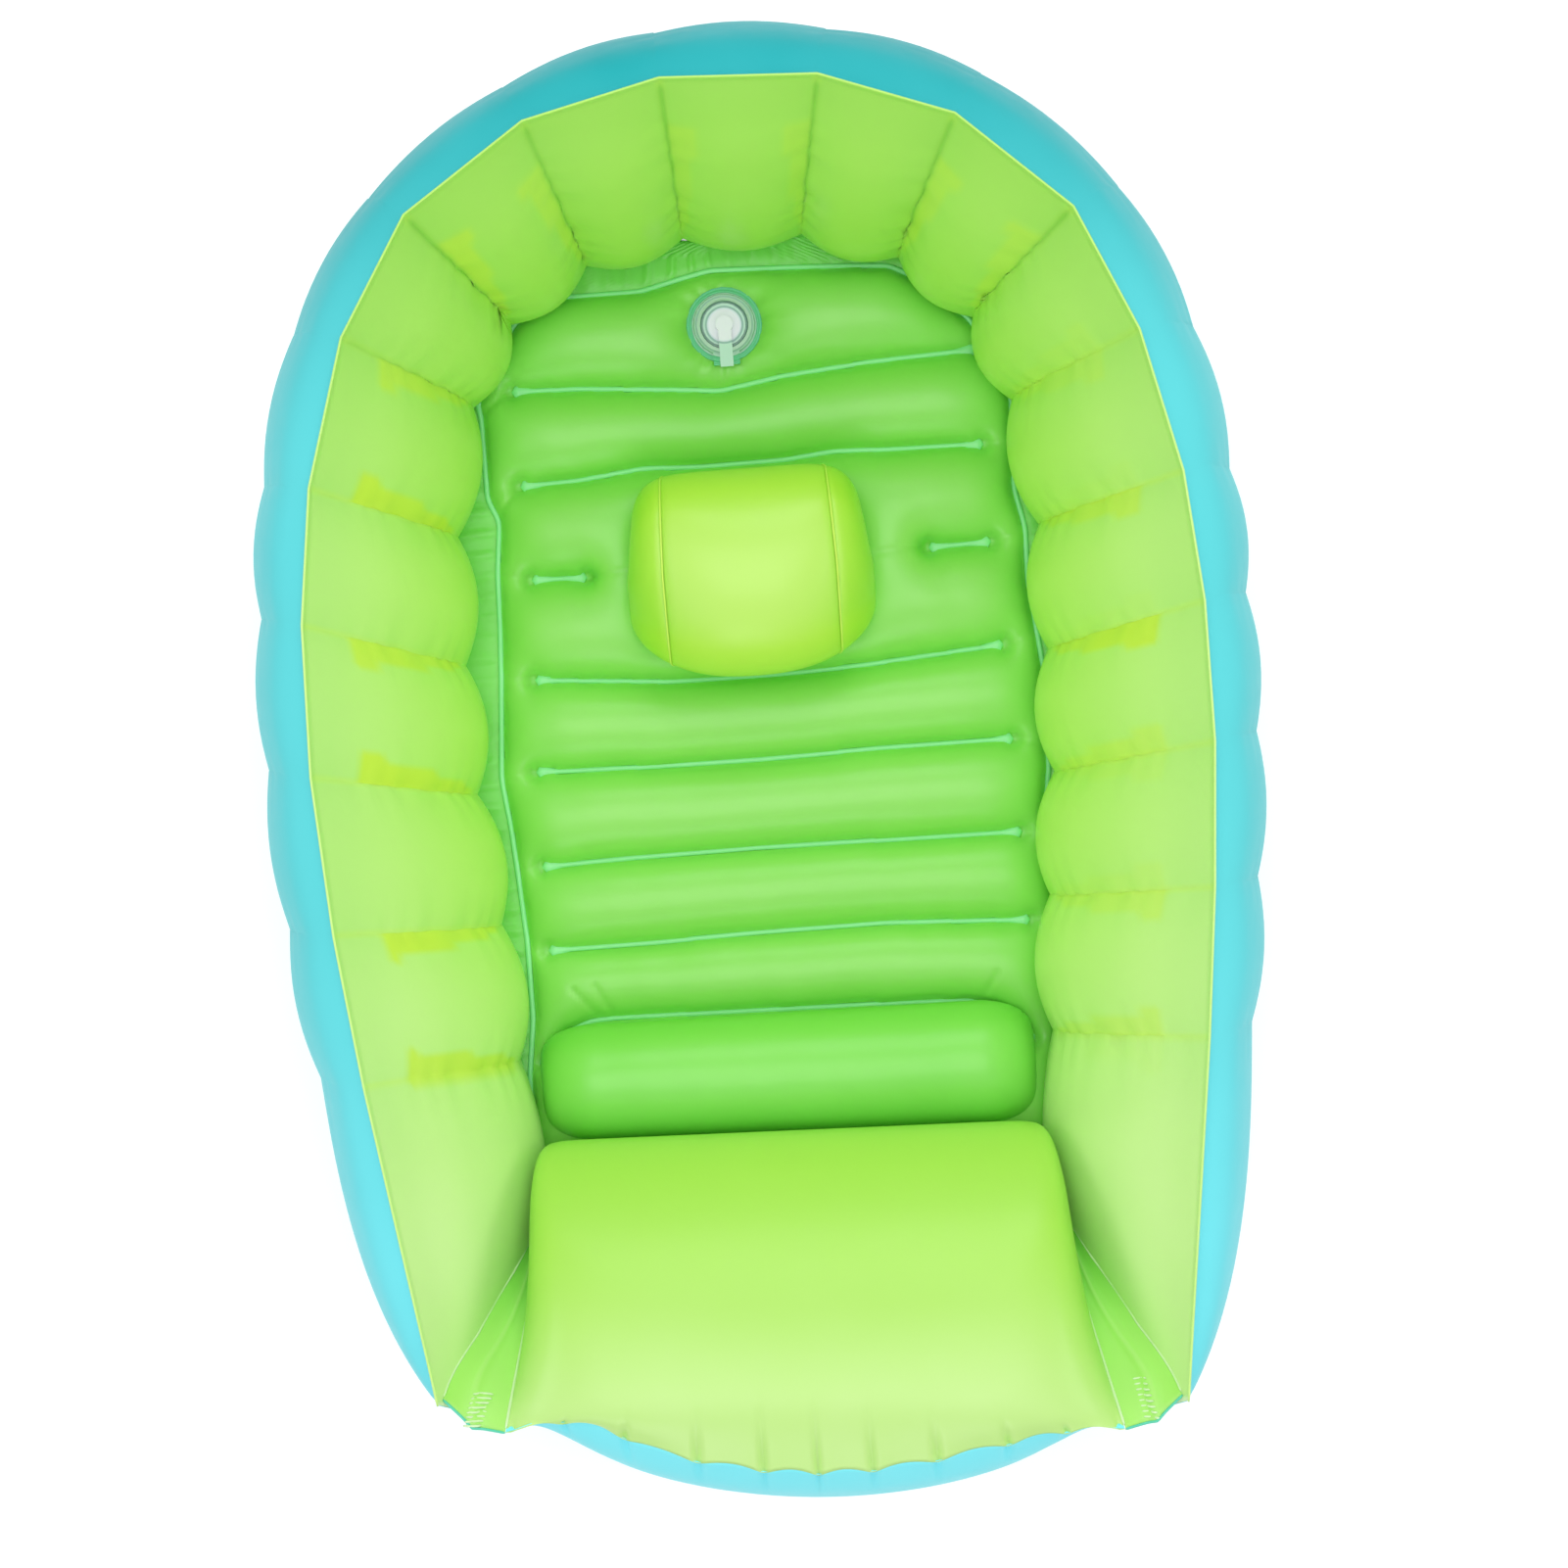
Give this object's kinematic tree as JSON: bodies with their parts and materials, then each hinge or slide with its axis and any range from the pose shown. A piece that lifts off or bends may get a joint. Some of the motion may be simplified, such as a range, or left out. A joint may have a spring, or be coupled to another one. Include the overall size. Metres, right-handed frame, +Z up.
{
  "type": "inflatable baby bathtub",
  "caption": "Oval air-walled baby bathtub with a ribbed air floor, saddle cushion, seat bolster, wedge backrest, floor drain and push-in air valves; folds flat when deflated.",
  "frame": {"origin": "on the ground under the middle of the tub", "axes": "+Z up, +Y towards the round foot end, +X across the tub"},
  "size_m": [0.6554, 0.9733, 0.28],
  "materials": {
    "blue_film": "satin opaque PVC film",
    "lime_film": "satin PVC film",
    "green_film": "satin translucent PVC film",
    "baffle_film": "satin PVC film",
    "clear_moulding": "clear soft PVC moulding"
  },
  "bodies": {
    "tub": {"wall_outer_skin": "blue_film", "wall_inner_skin": "lime_film", "floor_upper_skin": "green_film", "floor_lower_skin": "green_film", "saddle_left_panel": "lime_film", "saddle_middle_panel": "lime_film", "saddle_right_panel": "lime_film", "seat_bolster_skin": "green_film", "backrest_upper_skin": "lime_film", "backrest_outer_skin": "blue_film", "corner_gusset_left": "green_film", "corner_gusset_right": "green_film", "drain_flange": "clear_moulding", "drain_tube": "clear_moulding", "wall_baffle_01": "baffle_film", "wall_baffle_02": "baffle_film", "wall_baffle_03": "baffle_film", "wall_baffle_04": "baffle_film", "wall_baffle_05": "baffle_film", "wall_baffle_06": "baffle_film", "wall_baffle_07": "baffle_film", "wall_baffle_08": "baffle_film", "wall_baffle_09": "baffle_film", "wall_baffle_10": "baffle_film", "wall_baffle_11": "baffle_film", "wall_baffle_12": "baffle_film", "wall_baffle_13": "baffle_film", "wall_baffle_14": "baffle_film", "wall_baffle_15": "baffle_film", "wall_baffle_16": "baffle_film", "wall_baffle_17": "baffle_film", "wall_baffle_18": "baffle_film", "wall_valve_flange": "clear_moulding", "backrest_valve_flange": "clear_moulding"},
    "backrest_valve_cap": {"backrest_valve_cap": "clear_moulding"},
    "backrest_valve_flap": {"backrest_valve_flap": "clear_moulding"},
    "backrest_valve_stem": {"backrest_valve_stem": "clear_moulding"},
    "drain_plug": {"drain_plug": "clear_moulding"},
    "wall_valve_cap": {"wall_valve_cap": "clear_moulding"},
    "wall_valve_flap": {"wall_valve_flap": "clear_moulding"},
    "wall_valve_stem": {"wall_valve_stem": "clear_moulding"}
  },
  "joints": [
    {"name": "drain_plug_hinge", "type": "hinge", "parent": "tub", "child": "drain_plug", "pos_m": [-0.005, 0.27625, 0.03565], "axis": [1, 0, 0], "range_deg": [0, 135]},
    {"name": "wall_valve_slide", "type": "slide", "parent": "tub", "child": "wall_valve_stem", "axis": [-1, 0, 0], "range_m": [0, 0.008]},
    {"name": "wall_valve_cap_hinge", "type": "hinge", "parent": "wall_valve_stem", "child": "wall_valve_cap", "pos_m": [-0.29345, -0.2833, 0.08605], "axis": [0, 1, 0], "range_deg": [0, 115]},
    {"name": "wall_valve_flap_hinge", "type": "hinge", "parent": "wall_valve_stem", "child": "wall_valve_flap", "pos_m": [-0.27085, -0.2833, 0.08175], "axis": [0, -1, 0], "range_deg": [0, 50]},
    {"name": "backrest_valve_slide", "type": "slide", "parent": "tub", "child": "backrest_valve_stem", "axis": [0, -1, 0], "range_m": [0, 0.008]},
    {"name": "backrest_valve_cap_hinge", "type": "hinge", "parent": "backrest_valve_stem", "child": "backrest_valve_cap", "pos_m": [0.0394, -0.48519, 0.06715], "axis": [-1, 0, 0], "range_deg": [0, 115]},
    {"name": "backrest_valve_flap_hinge", "type": "hinge", "parent": "backrest_valve_stem", "child": "backrest_valve_flap", "pos_m": [0.0394, -0.46259, 0.06285], "axis": [1, 0, 0], "range_deg": [0, 50]}
  ]
}
